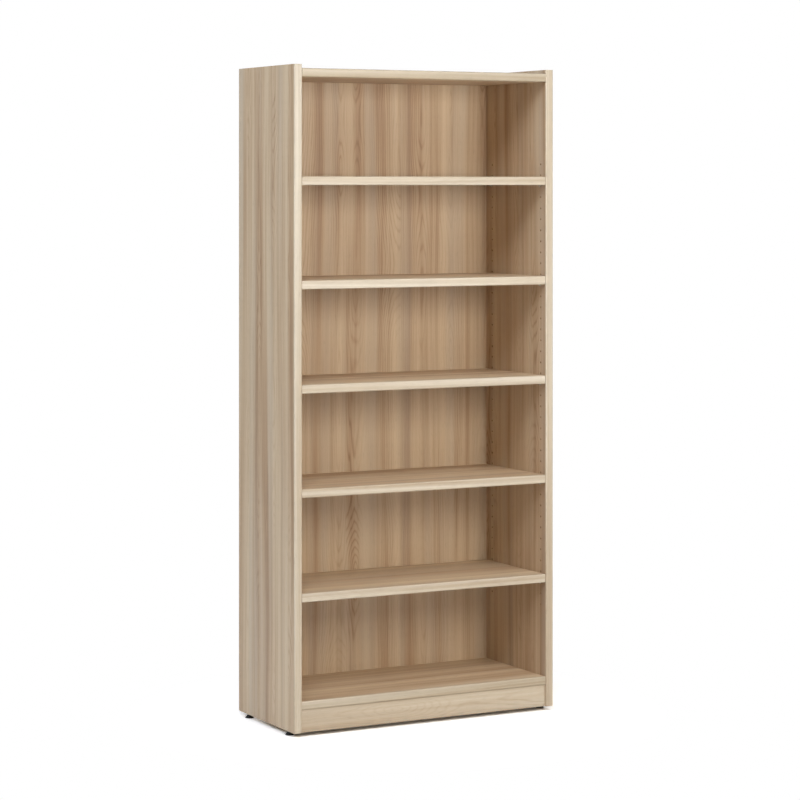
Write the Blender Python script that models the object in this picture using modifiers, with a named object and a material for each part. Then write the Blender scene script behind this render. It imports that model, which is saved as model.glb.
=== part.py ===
"""A tall open bookcase of laminated board: a fixed case, five shelves on pins, four levelling glides.

Metres, +Z up. The origin is on the floor under the middle of the case, and the open front faces -Y.
"""

import math

import bmesh
import bpy
from mathutils import Matrix, Vector

# Driving dimensions of the case.
WIDTH = 0.813
DEPTH = 0.357
CASE_HEIGHT = 1.800
FLOOR_GAP = 0.013
BOARD = 0.0235
EDGE_RADIUS = 0.003
EDGE_STEPS = 2
GAP = 0.0003

# Where the fixed boards sit, counted up from the lower end of the side panels.
SIDE_RISE = 0.0105
BOTTOM_TOP = 0.0845
KICK_SETBACK = 0.0067
BACK_THICK = 0.006
BACK_SETBACK = 0.0204
GROOVE_DEPTH = 0.006

# The adjustable shelves and the rows of holes for their pins.
SHELVES = 5
SHELF_STEP = 0.2809
LOWEST_SHELF_TOP = 0.3740
SHELF_SETBACK = 0.0028
SHELF_END_GAP = 0.001
SHELF_REAR_GAP = 0.0015
HOLES_PER_STEP = 9
HOLES = 41
HOLES_BELOW_LOWEST_SHELF = 2
HOLE_RADIUS = 0.0026
HOLE_DEPTH = 0.0112
HOLE_FRONT = 0.0286
HOLE_REAR = 0.3028
HOLE_SIDES = 8

# A shelf pin: a stud in the hole, a collar on the panel's face and a flat tongue under the shelf.
STUD_RADIUS = 0.0023
STUD_LENGTH = 0.0090
STUD_TAPER = 0.0010
COLLAR_RADIUS = 0.0032
COLLAR_THICK = 0.0010
TONGUE_LENGTH = 0.0085
TONGUE_WIDTH = 0.0076
TONGUE_THICK = 0.0018
TONGUE_TOP = 0.0032
TONGUE_CORNER = 0.0030
RIB_LENGTH = 0.0055

# A cam fitting: a cam in the end of a fixed board holds the head of a bolt screwed into the side panel.
CAM_RADIUS = 0.0074
CAM_POCKET_RADIUS = 0.0077
CAM_FROM_END = 0.034
CAM_POCKET_DEPTH = 0.0165
CAM_HEIGHT = 0.0160
CAM_CAVITY_RADIUS = 0.0050
CAM_CAVITY_HEIGHT = 0.0072
CAM_NECK_SLOT = 0.0040
CAM_ENTRY_WIDTH = 0.0078
CAM_FRONT = 0.062
CAM_REAR = 0.288
CAM_SIDES = 16
CROSS_DEPTH = 0.0018
CROSS_LENGTH = 0.0092
CROSS_WIDTH = 0.0022
BOLT_THREAD_LENGTH = 0.0110
BOLT_THREAD_RADIUS = 0.0024
BOLT_HOLE_RADIUS = 0.0027
BOLT_BORE_RADIUS = 0.0040
BOLT_SHANK_RADIUS = 0.0030
BOLT_NECK_RADIUS = 0.0016
BOLT_NECK_LENGTH = 0.0090
BOLT_HEAD_RADIUS = 0.0032
BOLT_HEAD_FRONT = 0.0016
BOLT_HEAD_REAR = 0.0020
BOLT_TAPER = 0.0010
BOLT_SIDES = 10

# A levelling glide: a threaded insert in the panel, a stem with a hex collar, and a swivelling foot.
GLIDE_INSET = 0.012
GLIDE_FRONT = 0.054
GLIDE_REAR = 0.312
FOOT_RADIUS = 0.0120
FOOT_RIM = 0.0018
FOOT_HEIGHT = 0.0090
FOOT_TOP_RADIUS = 0.0062
FOOT_BORE_RADIUS = 0.0044
FOOT_RECESS_RADIUS = 0.0070
FOOT_RECESS_DEPTH = 0.0040
FOOT_SIDES = 20
FOOT_CHAMFER = 0.0006
STEM_RADIUS = 0.0039
STEM_TOP = 0.0400
STEM_TAPER = 0.0010
STEM_HEAD_RADIUS = 0.0065
STEM_HEAD = (0.0012, 0.0037)
HEX_COLLAR = (0.0093, 0.0113)
HEX_RADIUS = 0.0075
INSERT_RADIUS = 0.0060
INSERT_POCKET_RADIUS = 0.0064
INSERT_BORE_RADIUS = 0.0043
INSERT_FLANGE_RADIUS = 0.0085
INSERT_FLANGE = (0.0116, 0.0127)
INSERT_LENGTH = 0.0200
INSERT_TAPER = (0.0006, 0.0015)
STEM_POCKET_TOP = 0.0440
ROUND_SIDES = 16

OVERCUT = 0.002
MERGE_WITHIN = 0.00001

FRONT = -DEPTH / 2
REAR = DEPTH / 2
CASE_BOTTOM = FLOOR_GAP
CASE_TOP = FLOOR_GAP + CASE_HEIGHT
INNER_X = WIDTH / 2 - BOARD
TOP_PANEL_TOP = CASE_TOP - SIDE_RISE
BOTTOM_PANEL_TOP = CASE_BOTTOM + BOTTOM_TOP
BACK_FRONT = REAR - BACK_SETBACK
HOLE_PITCH = SHELF_STEP / HOLES_PER_STEP
SIDES = {"left": -1, "right": 1}
PIN_ROWS = {"front": FRONT + HOLE_FRONT, "rear": FRONT + HOLE_REAR}
CAM_ROWS = {"front": FRONT + CAM_FRONT, "rear": FRONT + CAM_REAR}
GLIDE_ROWS = {"front": FRONT + GLIDE_FRONT, "rear": FRONT + GLIDE_REAR}


def shelf_underside(number):
    """Height of the underside of shelf 1 (the lowest) to 5 above the floor."""
    return CASE_BOTTOM + LOWEST_SHELF_TOP - BOARD + (number - 1) * SHELF_STEP


def pin_height(number):
    """Height of the axis of the holes that carry this shelf's pins."""
    return shelf_underside(number) - GAP - TONGUE_TOP


LOWEST_HOLE = pin_height(1) - HOLES_BELOW_LOWEST_SHELF * HOLE_PITCH


# ---------------------------------------------------------------- scene, materials, helpers


def clear_scene():
    for obj in list(bpy.data.objects):
        bpy.data.objects.remove(obj, do_unlink=True)


def collection(name):
    made = bpy.data.collections.new(name)
    bpy.context.scene.collection.children.link(made)
    return made


def material(name, colour, roughness, metallic=0.0):
    made = bpy.data.materials.new(name)
    made.use_nodes = True
    shader = made.node_tree.nodes["Principled BSDF"]
    shader.inputs["Base Color"].default_value = (*colour, 1.0)
    shader.inputs["Roughness"].default_value = roughness
    shader.inputs["Metallic"].default_value = metallic
    return made


def placed(name, mesh, where, group, finish=None):
    obj = bpy.data.objects.new(name, mesh)
    obj.location = where
    group.objects.link(obj)
    if finish:
        obj.data.materials.clear()
        obj.data.materials.append(finish)
    return obj


def box_mesh(name, size, round_edges=()):
    """A box about its own centre. round_edges lists the (axis, sign) pairs of faces that meet in a round."""
    bm = bmesh.new()
    bmesh.ops.create_cube(bm, size=1.0, matrix=Matrix.Diagonal((*size, 1.0)))
    weight = bm.edges.layers.float.new("bevel_weight_edge")
    for edge in bm.edges:
        for pair in round_edges:
            if all(vert.co[axis] * sign > 0 for vert in edge.verts for axis, sign in pair):
                edge[weight] = 1.0
    mesh = bpy.data.meshes.new(name)
    bm.to_mesh(mesh)
    bm.free()
    return mesh


def round_the_edges(obj):
    bevel = obj.modifiers.new("rounded_edges", "BEVEL")
    bevel.limit_method = "WEIGHT"
    bevel.width = EDGE_RADIUS
    bevel.segments = EDGE_STEPS


def add_cylinder(bm, start, end, radius, sides):
    """Adds a capped cylinder, with its corners where a turned piece of as many sides has its."""
    start, end = Vector(start), Vector(end)
    along = end - start
    turn = along.to_track_quat("Z", "Y").to_matrix().to_4x4()
    first_corner = Matrix.Rotation(math.pi / 2, 4, "Z")
    bmesh.ops.create_cone(
        bm,
        cap_ends=True,
        segments=sides,
        radius1=radius,
        radius2=radius,
        depth=along.length,
        matrix=Matrix.Translation((start + end) / 2) @ turn @ first_corner,
    )


def add_box(bm, low, high):
    low, high = Vector(low), Vector(high)
    size = Matrix.Diagonal((*(high - low), 1.0))
    bmesh.ops.create_cube(bm, size=1.0, matrix=Matrix.Translation((low + high) / 2) @ size)


def cut(obj, bm, name, group):
    """Takes the shapes in bm, which are in world space, out of obj."""
    mesh = bpy.data.meshes.new(name)
    bm.to_mesh(mesh)
    bm.free()
    cutter = placed(name, mesh, (0, 0, 0), group)
    cutter.hide_render = True
    cutter.display_type = "WIRE"
    difference = obj.modifiers.new(name, "BOOLEAN")
    difference.operation = "DIFFERENCE"
    difference.object = cutter


def turned(name, profile, where, axis, group, finish, sides=ROUND_SIDES):
    """A solid turned about its own Z, which points along axis.

    profile lists (radius, height) down the outer side; one that never meets the axis makes a ring.
    """
    mesh = bpy.data.meshes.new(name)
    points = [(radius, 0.0, height) for radius, height in profile]
    edges = [(i, i + 1) for i in range(len(points) - 1)]
    is_ring = profile[0][0] > 0
    if is_ring:
        edges.append((len(points) - 1, 0))
    mesh.from_pydata(points, edges, [])
    obj = placed(name, mesh, where, group, finish)
    obj.rotation_mode = "QUATERNION"
    obj.rotation_quaternion = Vector(axis).to_track_quat("Z", "Y")
    screw = obj.modifiers.new("turned", "SCREW")
    screw.axis = "Z"
    screw.steps = sides
    screw.render_steps = sides
    screw.use_merge_vertices = True
    screw.merge_threshold = MERGE_WITHIN
    return obj


def shade_round(obj, degrees=35):
    for polygon in obj.data.polygons:
        polygon.use_smooth = True
    obj.data.set_sharp_from_angle(angle=math.radians(degrees))


# ---------------------------------------------------------------- the fixed case


def board(name, low, high, round_edges, group, finish):
    """A laminated board between two corners, rounded along the edges that its front band covers."""
    low, high = Vector(low), Vector(high)
    obj = placed(name, box_mesh(name, high - low, round_edges), (low + high) / 2, group, finish)
    if round_edges:
        round_the_edges(obj)
    return obj


def side_panel(side, parts, cutters, finish):
    """A full-height side with two rows of pin holes, a groove for the back, bolt holes and glide pockets."""
    sign = SIDES[side]
    xs = sorted((sign * INNER_X, sign * WIDTH / 2))
    upright_edges = (((0, -1), (1, -1)), ((0, 1), (1, -1)))
    panel = board(
        f"{side}_side_panel",
        (xs[0], FRONT, CASE_BOTTOM),
        (xs[1], REAR, CASE_TOP),
        upright_edges,
        parts,
        finish,
    )
    face = sign * INNER_X
    out = sign * OVERCUT

    groove = bmesh.new()
    groove_xs = sorted((face - out, face + sign * GROOVE_DEPTH))
    add_box(
        groove,
        (groove_xs[0], BACK_FRONT - GAP, BOTTOM_PANEL_TOP - GROOVE_DEPTH),
        (groove_xs[1], BACK_FRONT + BACK_THICK + GAP, TOP_PANEL_TOP - BOARD + GROOVE_DEPTH),
    )
    cut(panel, groove, f"{side}_back_groove", cutters)

    drilling = bmesh.new()
    hole_end = face + sign * HOLE_DEPTH
    for y in PIN_ROWS.values():
        for i in range(HOLES):
            z = LOWEST_HOLE + i * HOLE_PITCH
            add_cylinder(drilling, (face - out, y, z), (hole_end, y, z), HOLE_RADIUS, HOLE_SIDES)
    bolt_end = sign * (INNER_X + BOLT_THREAD_LENGTH + 2 * GAP)
    for z in cam_heights().values():
        for y in CAM_ROWS.values():
            add_cylinder(drilling, (face - out, y, z), (bolt_end, y, z), BOLT_HOLE_RADIUS, BOLT_SIDES)
    stem_clearance = bmesh.new()
    x = sign * (WIDTH / 2 - GLIDE_INSET)
    low = CASE_BOTTOM - OVERCUT
    insert_end = INSERT_FLANGE[1] + GAP + INSERT_LENGTH + GAP
    for y in GLIDE_ROWS.values():
        add_cylinder(drilling, (x, y, low), (x, y, insert_end), INSERT_POCKET_RADIUS, ROUND_SIDES)
        add_cylinder(stem_clearance, (x, y, low), (x, y, STEM_POCKET_TOP), INSERT_BORE_RADIUS, ROUND_SIDES)
    cut(panel, drilling, f"{side}_drilling", cutters)
    cut(panel, stem_clearance, f"{side}_stem_clearance", cutters)
    return panel


def cam_heights():
    """The height of the bolts' axes in the two fixed boards that the cams hold."""
    return {"top": TOP_PANEL_TOP - BOARD / 2, "bottom": BOTTOM_PANEL_TOP - BOARD / 2}


def cam_face(level):
    """(height of the face that a board's cams are let into, which way that face looks)."""
    return (TOP_PANEL_TOP, 1) if level == "top" else (BOTTOM_PANEL_TOP - BOARD, -1)


def fixed_board(level, parts, cutters, finish):
    """The top or bottom board: a groove for the back, and pockets and end bores for four cam fittings."""
    half = INNER_X - GAP
    top = TOP_PANEL_TOP if level == "top" else BOTTOM_PANEL_TOP
    front = FRONT if level == "top" else FRONT + SHELF_SETBACK
    level_edges = (((1, -1), (2, -1)), ((1, -1), (2, 1)))
    low, high = (-half, front, top - BOARD), (half, REAR, top)
    panel = board(f"{level}_panel", low, high, level_edges, parts, finish)

    inside = top - BOARD if level == "top" else top
    away = -1 if level == "top" else 1
    groove = bmesh.new()
    zs = sorted((inside + away * OVERCUT, inside - away * GROOVE_DEPTH))
    add_box(
        groove,
        (-half - OVERCUT, BACK_FRONT - GAP, zs[0]),
        (half + OVERCUT, BACK_FRONT + BACK_THICK + GAP, zs[1]),
    )
    cut(panel, groove, f"{level}_panel_groove", cutters)

    face, looks = cam_face(level)
    axis_z = cam_heights()[level]
    pockets, bores = bmesh.new(), bmesh.new()
    for sign in SIDES.values():
        x = sign * (INNER_X - CAM_FROM_END)
        for y in CAM_ROWS.values():
            start = (x, y, face + looks * OVERCUT)
            end = (x, y, face - looks * CAM_POCKET_DEPTH)
            add_cylinder(pockets, start, end, CAM_POCKET_RADIUS, CAM_SIDES)
            end_face = (sign * (half + OVERCUT), y, axis_z)
            add_cylinder(bores, end_face, (x, y, axis_z), BOLT_BORE_RADIUS, BOLT_SIDES)
    cut(panel, pockets, f"{level}_panel_cam_pockets", cutters)
    cut(panel, bores, f"{level}_panel_bolt_bores", cutters)
    return panel


def back_panel(parts, finish):
    """One thin sheet let into grooves on all four sides."""
    reach = GROOVE_DEPTH - 2 * GAP
    low = (-INNER_X - reach, BACK_FRONT, BOTTOM_PANEL_TOP - reach)
    high = (INNER_X + reach, BACK_FRONT + BACK_THICK, TOP_PANEL_TOP - BOARD + reach)
    return board("back_panel", low, high, (), parts, finish)


def kick_board(parts, finish):
    """The board that closes the front of the plinth, set back under the bottom panel."""
    front = FRONT + KICK_SETBACK
    half = INNER_X - GAP
    top = BOTTOM_PANEL_TOP - BOARD - GAP
    return board("kick_board", (-half, front, CASE_BOTTOM), (half, front + BOARD, top), (), parts, finish)


# ---------------------------------------------------------------- cam fittings


def cam_lock(level, row, side, parts, cutters, finish):
    """A cam that turns half a turn in its pocket, hollow in the middle for the bolt's head.

    Its rim has a slot for the bolt's neck on one side and, away from the bolt, an opening that lets the
    head out once the cam is turned.
    """
    sign = SIDES[side]
    face, looks = cam_face(level)
    x, y = sign * (INNER_X - CAM_FROM_END), CAM_ROWS[row]
    name = f"cam_lock_{level}_{row}_{side}"
    bm = bmesh.new()
    add_cylinder(bm, (0, 0, -CAM_HEIGHT), (0, 0, 0), CAM_RADIUS, CAM_SIDES)
    mesh = bpy.data.meshes.new(name)
    bm.to_mesh(mesh)
    bm.free()
    cam = placed(name, mesh, (x, y, face - looks * GAP), parts, finish)
    cam.rotation_euler = (0.0 if looks > 0 else math.pi, 0.0, 0.0)
    shade_round(cam)

    z = cam_heights()[level]
    past_rim = CAM_RADIUS + OVERCUT
    slot_side = -sign * looks
    cavity = bmesh.new()
    low_z, high_z = z - CAM_CAVITY_HEIGHT / 2, z + CAM_CAVITY_HEIGHT / 2
    add_cylinder(cavity, (x, y, low_z), (x, y, high_z), CAM_CAVITY_RADIUS, CAM_SIDES)
    cut(cam, cavity, f"{name}_cavity", cutters)
    neck = bmesh.new()
    neck_ys = sorted((y - slot_side * CAM_NECK_SLOT / 2, y + slot_side * past_rim))
    add_box(
        neck,
        (x - past_rim, neck_ys[0], z - CAM_NECK_SLOT / 2),
        (x + past_rim, neck_ys[1], z + CAM_NECK_SLOT / 2),
    )
    cut(cam, neck, f"{name}_neck_slot", cutters)
    entry = bmesh.new()
    entry_xs = sorted((x, x - sign * past_rim))
    half_entry = CAM_ENTRY_WIDTH / 2
    add_box(entry, (entry_xs[0], y - half_entry, low_z), (entry_xs[1], y + half_entry, high_z))
    cut(cam, entry, f"{name}_entry", cutters)

    zs = sorted((face + looks * OVERCUT, face - looks * (GAP + CROSS_DEPTH)))
    arms = ((CROSS_LENGTH, CROSS_WIDTH), (CROSS_WIDTH, CROSS_LENGTH))
    for index, (across_x, across_y) in enumerate(arms):
        arm = bmesh.new()
        add_box(
            arm,
            (x - across_x / 2, y - across_y / 2, zs[0]),
            (x + across_x / 2, y + across_y / 2, zs[1]),
        )
        cut(cam, arm, f"{name}_cross_{index}", cutters)
    return cam


def cam_bolt(level, row, side, parts, finish):
    """The bolt that a cam pulls on: thread in the side panel, shank in the board's end, head in the cam."""
    sign = SIDES[side]
    head_rear = CAM_FROM_END + BOLT_HEAD_REAR
    head_front = CAM_FROM_END - BOLT_HEAD_FRONT
    neck_start = CAM_FROM_END - BOLT_NECK_LENGTH
    profile = [
        (0.0, BOLT_THREAD_LENGTH),
        (BOLT_THREAD_RADIUS / 2, BOLT_THREAD_LENGTH),
        (BOLT_THREAD_RADIUS, BOLT_THREAD_LENGTH - BOLT_TAPER),
        (BOLT_THREAD_RADIUS, 0.0),
        (BOLT_SHANK_RADIUS, 0.0),
        (BOLT_SHANK_RADIUS, -neck_start),
        (BOLT_NECK_RADIUS, -neck_start - BOLT_TAPER),
        (BOLT_NECK_RADIUS, -head_front),
        (BOLT_HEAD_RADIUS, -head_front - BOLT_TAPER),
        (BOLT_HEAD_RADIUS, -head_rear),
        (0.0, -head_rear),
    ]
    where = (sign * (INNER_X - GAP), CAM_ROWS[row], cam_heights()[level])
    name = f"cam_bolt_{level}_{row}_{side}"
    return turned(name, profile, where, (sign, 0, 0), parts, finish, BOLT_SIDES)


# ---------------------------------------------------------------- shelves and pins


def shelf(number, parts, finish):
    half = INNER_X - SHELF_END_GAP
    low = (-half, FRONT + SHELF_SETBACK, shelf_underside(number))
    high = (half, BACK_FRONT - SHELF_REAR_GAP, shelf_underside(number) + BOARD)
    level_edges = (((1, -1), (2, -1)), ((1, -1), (2, 1)))
    return board(f"shelf_{number}", low, high, level_edges, parts, finish)


def pin_tongue_mesh():
    """The flat tongue of a pin, reaching in under the shelf, with its two far corners rounded."""
    bm = bmesh.new()
    low = (0.0, -TONGUE_WIDTH / 2, TONGUE_TOP - TONGUE_THICK)
    high = (TONGUE_LENGTH, TONGUE_WIDTH / 2, TONGUE_TOP)
    add_box(bm, low, high)
    outer = [
        edge
        for edge in bm.edges
        if all(vert.co.x > TONGUE_LENGTH / 2 for vert in edge.verts)
        and abs(edge.verts[0].co.z - edge.verts[1].co.z) > TONGUE_THICK / 2
    ]
    bmesh.ops.bevel(bm, geom=outer, offset=TONGUE_CORNER, segments=2, profile=0.5, affect="EDGES")
    mesh = bpy.data.meshes.new("pin_tongue")
    bm.to_mesh(mesh)
    bm.free()
    return mesh


def shelf_pin(number, row, side, tongue, parts, cutters, finish):
    """A pin with its stud in the panel and its tongue under the shelf. Its own Z points into the case."""
    sign = SIDES[side]
    profile = [
        (0.0, RIB_LENGTH),
        (STUD_RADIUS, RIB_LENGTH),
        (STUD_RADIUS, COLLAR_THICK + GAP),
        (COLLAR_RADIUS, COLLAR_THICK + GAP),
        (COLLAR_RADIUS, GAP),
        (STUD_RADIUS, GAP),
        (STUD_RADIUS, STUD_TAPER - STUD_LENGTH),
        (STUD_RADIUS / 2, -STUD_LENGTH),
        (0.0, -STUD_LENGTH),
    ]
    where = (sign * INNER_X, PIN_ROWS[row], pin_height(number))
    name = f"shelf_pin_{number}_{row}_{side}"
    pin = turned(name, profile, where, (-sign, 0, 0), parts, finish, HOLE_SIDES)
    start = Vector(where) - Vector((sign * (GAP + COLLAR_THICK / 2), 0, 0))
    shape = placed(f"{name}_tongue", tongue, start, cutters)
    shape.rotation_euler = (0, 0, math.pi if sign > 0 else 0)
    shape.hide_render = True
    shape.display_type = "WIRE"
    union = pin.modifiers.new("tongue", "BOOLEAN")
    union.operation = "UNION"
    union.object = shape
    return pin


# ---------------------------------------------------------------- levelling glides


def glide_insert(row, side, where, parts, finish):
    """A flanged threaded sleeve pressed up into the lower end of the side panel."""
    low, high = INSERT_FLANGE
    top = high + GAP + INSERT_LENGTH
    profile = [
        (INSERT_BORE_RADIUS, top),
        (INSERT_RADIUS - INSERT_TAPER[0], top),
        (INSERT_RADIUS, top - INSERT_TAPER[1]),
        (INSERT_RADIUS, high),
        (INSERT_FLANGE_RADIUS, high),
        (INSERT_FLANGE_RADIUS, low),
        (INSERT_BORE_RADIUS, low),
    ]
    return turned(f"glide_insert_{row}_{side}", profile, where, (0, 0, 1), parts, finish)


def glide_stem(row, side, where, parts, cutters, finish):
    """A threaded stem with a hex collar for a spanner, and a head that the foot turns on."""
    head_low, head_high = STEM_HEAD
    low, high = HEX_COLLAR
    profile = [
        (0.0, STEM_TOP),
        (STEM_RADIUS - STEM_TAPER, STEM_TOP),
        (STEM_RADIUS, STEM_TOP - STEM_TAPER),
        (STEM_RADIUS, head_high),
        (STEM_HEAD_RADIUS, head_high),
        (STEM_HEAD_RADIUS, head_low),
        (0.0, head_low),
    ]
    name = f"glide_stem_{row}_{side}"
    stem = turned(name, profile, where, (0, 0, 1), parts, finish)
    bm = bmesh.new()
    add_cylinder(bm, (0, 0, low), (0, 0, high), HEX_RADIUS, 6)
    mesh = bpy.data.meshes.new(f"{name}_hex")
    bm.to_mesh(mesh)
    bm.free()
    collar = placed(f"{name}_hex", mesh, where, cutters)
    collar.hide_render = True
    collar.display_type = "WIRE"
    union = stem.modifiers.new("hex", "BOOLEAN")
    union.operation = "UNION"
    union.object = collar
    return stem


def glide_foot(row, side, where, parts, finish):
    """A round foot with a sloping shoulder, open in the middle for the stem and its head."""
    profile = [
        (FOOT_BORE_RADIUS, FOOT_HEIGHT),
        (FOOT_TOP_RADIUS - FOOT_CHAMFER, FOOT_HEIGHT),
        (FOOT_TOP_RADIUS, FOOT_HEIGHT - FOOT_CHAMFER),
        (FOOT_RADIUS, FOOT_RIM),
        (FOOT_RADIUS, FOOT_CHAMFER),
        (FOOT_RADIUS - FOOT_CHAMFER, 0.0),
        (FOOT_RECESS_RADIUS, 0.0),
        (FOOT_RECESS_RADIUS, FOOT_RECESS_DEPTH),
        (FOOT_BORE_RADIUS, FOOT_RECESS_DEPTH),
    ]
    return turned(f"glide_foot_{row}_{side}", profile, where, (0, 0, 1), parts, finish, FOOT_SIDES)


# ---------------------------------------------------------------- the whole bookcase


def build():
    clear_scene()
    parts = collection("bookcase")
    cutters = collection("bookcase_cutters")
    upright_laminate = material("upright_elm_laminate", (0.52, 0.40, 0.27), 0.5)
    level_laminate = material("level_elm_laminate", (0.60, 0.47, 0.32), 0.5)
    nickel = material("nickel_plated_steel", (0.62, 0.60, 0.57), 0.35, 1.0)
    zinc = material("zinc_plated_steel", (0.55, 0.55, 0.54), 0.4, 1.0)
    black_plastic = material("black_plastic", (0.015, 0.015, 0.015), 0.45)

    for side in SIDES:
        side_panel(side, parts, cutters, upright_laminate)
    for level in ("top", "bottom"):
        fixed_board(level, parts, cutters, level_laminate)
    back_panel(parts, upright_laminate)
    kick_board(parts, level_laminate)

    tongue = pin_tongue_mesh()
    for number in range(1, SHELVES + 1):
        shelf(number, parts, level_laminate)
        for row in PIN_ROWS:
            for side in SIDES:
                shelf_pin(number, row, side, tongue, parts, cutters, nickel)

    for row in CAM_ROWS:
        for side in SIDES:
            for level in cam_heights():
                cam_lock(level, row, side, parts, cutters, zinc)
                cam_bolt(level, row, side, parts, zinc)

    for row, y in GLIDE_ROWS.items():
        for side, sign in SIDES.items():
            where = (sign * (WIDTH / 2 - GLIDE_INSET), y, 0.0)
            glide_insert(row, side, where, parts, zinc)
            glide_stem(row, side, where, parts, cutters, zinc)
            glide_foot(row, side, where, parts, black_plastic)


build()
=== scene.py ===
import math

import bmesh
import bpy
from mathutils import Matrix, Vector


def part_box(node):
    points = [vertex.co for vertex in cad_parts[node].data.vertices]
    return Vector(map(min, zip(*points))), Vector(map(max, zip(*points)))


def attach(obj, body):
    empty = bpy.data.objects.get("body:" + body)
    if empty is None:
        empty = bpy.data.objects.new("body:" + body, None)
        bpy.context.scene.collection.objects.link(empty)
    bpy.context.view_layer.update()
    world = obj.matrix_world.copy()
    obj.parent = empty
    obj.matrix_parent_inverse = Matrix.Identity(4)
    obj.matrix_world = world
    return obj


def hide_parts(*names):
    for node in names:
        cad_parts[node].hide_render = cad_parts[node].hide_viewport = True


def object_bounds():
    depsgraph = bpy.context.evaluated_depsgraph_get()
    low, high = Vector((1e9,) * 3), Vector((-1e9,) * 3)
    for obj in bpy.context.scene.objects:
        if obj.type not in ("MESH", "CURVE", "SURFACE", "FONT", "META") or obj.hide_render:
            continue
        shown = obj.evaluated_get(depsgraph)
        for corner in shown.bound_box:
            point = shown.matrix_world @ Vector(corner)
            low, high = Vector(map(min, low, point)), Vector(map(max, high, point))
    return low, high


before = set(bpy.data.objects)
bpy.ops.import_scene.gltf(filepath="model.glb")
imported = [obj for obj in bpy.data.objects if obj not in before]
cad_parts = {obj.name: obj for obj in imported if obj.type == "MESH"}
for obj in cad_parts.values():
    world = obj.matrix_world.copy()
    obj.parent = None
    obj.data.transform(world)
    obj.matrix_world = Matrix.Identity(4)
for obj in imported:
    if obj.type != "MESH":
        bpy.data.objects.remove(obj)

cad_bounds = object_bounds()


# ---------------------------------------------------------------- the room
# A white studio: a matt board floor that burns out to white away from the case, large soft lights in
# front, above and to the left, weaker ones behind, and a level camera at the front left.

def linear(hex_colour):
    """An sRGB hex colour as linear red, green, blue and alpha."""
    parts = [int(hex_colour[i:i + 2], 16) / 255 for i in (1, 3, 5)]
    curve = [((c + 0.055) / 1.055) ** 2.4 if c > 0.04045 else c / 12.92 for c in parts]
    return (*curve, 1.0)


def node(tree, kind, inputs, **settings):
    """Adds one node.

    settings are its properties. inputs are its sockets' values, or the sockets that feed them.
    """
    made = tree.nodes.new(kind)
    for key, value in settings.items():
        setattr(made, key, value)
    for key, value in inputs.items():
        if isinstance(value, bpy.types.NodeSocket):
            tree.links.new(value, made.inputs[key])
        else:
            made.inputs[key].default_value = value
    return made


def blank(name):
    """A new material with an empty node tree, and its output node."""
    made = bpy.data.materials.new(name)
    made.use_nodes = True
    made.node_tree.nodes.clear()
    return made, made.node_tree, made.node_tree.nodes.new("ShaderNodeOutputMaterial")


def shown(name, mesh, finish):
    """Links a mesh into the scene under a name, with its material."""
    made = bpy.data.objects.new(name, mesh)
    bpy.context.scene.collection.objects.link(made)
    mesh.materials.clear()
    mesh.materials.append(finish)
    return made


# The board is exposed brighter for the eye than for the light that it throws back. From floor_near to
# floor_far, measured from its middle, it turns to plain white.
floor_reach = 14.0
floor_white = "#F2F2F2"
floor_exposed = (1.52, 1.49, 1.44, 1.0)
floor_near = 0.46
floor_far = 0.76
pure_white = (1.0, 1.0, 1.0, 1.0)

matt_white_board, tree, out = blank("matt_white_board")
seen = node(tree, "ShaderNodeLightPath", {}).outputs["Is Camera Ray"]
place = node(tree, "ShaderNodeTexCoord", {}).outputs["Object"]
distance = node(tree, "ShaderNodeVectorMath", {0: place}, operation="LENGTH").outputs["Value"]
away = node(
    tree, "ShaderNodeMapRange", {0: distance, 1: floor_near, 2: floor_far, 3: 0.0, 4: seen},
    interpolation_type="SMOOTHSTEP",
)
mottle = node(tree, "ShaderNodeTexNoise", {"Vector": place, "Scale": 3.0, "Detail": 3.0})
tone = node(tree, "ShaderNodeMapRange", {0: mottle.outputs["Fac"], 3: 0.985, 4: 1.0})
exposed = node(
    tree, "ShaderNodeMix", {0: seen, 6: linear(floor_white), 7: floor_exposed},
    data_type="RGBA",
)
white = node(
    tree, "ShaderNodeMix", {0: 1.0, 6: exposed.outputs[2], 7: tone.outputs[0]},
    data_type="RGBA", blend_type="MULTIPLY",
)
paper = node(tree, "ShaderNodeBsdfDiffuse", {"Color": white.outputs[2]})
burnt_out = node(tree, "ShaderNodeEmission", {"Color": pure_white, "Strength": 1.0})
board_or_white = node(
    tree, "ShaderNodeMixShader", {0: away.outputs[0], 1: paper.outputs[0], 2: burnt_out.outputs[0]},
)
tree.links.new(board_or_white.outputs[0], out.inputs["Surface"])

bm = bmesh.new()
bmesh.ops.create_grid(bm, x_segments=2, y_segments=2, size=floor_reach)
mesh = bpy.data.meshes.new("studio_floor")
bm.to_mesh(mesh)
bm.free()
floor = shown("studio_floor", mesh, matt_white_board)

room_bounce = 0.02
world = bpy.data.worlds.new("studio")
world.use_nodes = True
sky = world.node_tree.nodes["Background"]
sky_seen = node(world.node_tree, "ShaderNodeLightPath", {}).outputs["Is Camera Ray"]
sky_level = node(world.node_tree, "ShaderNodeMapRange", {0: sky_seen, 3: room_bounce, 4: 1.0})
sky.inputs["Color"].default_value = pure_white
world.node_tree.links.new(sky_level.outputs[0], sky.inputs["Strength"])
bpy.context.scene.world = world
bpy.context.scene.view_settings.view_transform = "Standard"

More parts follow.
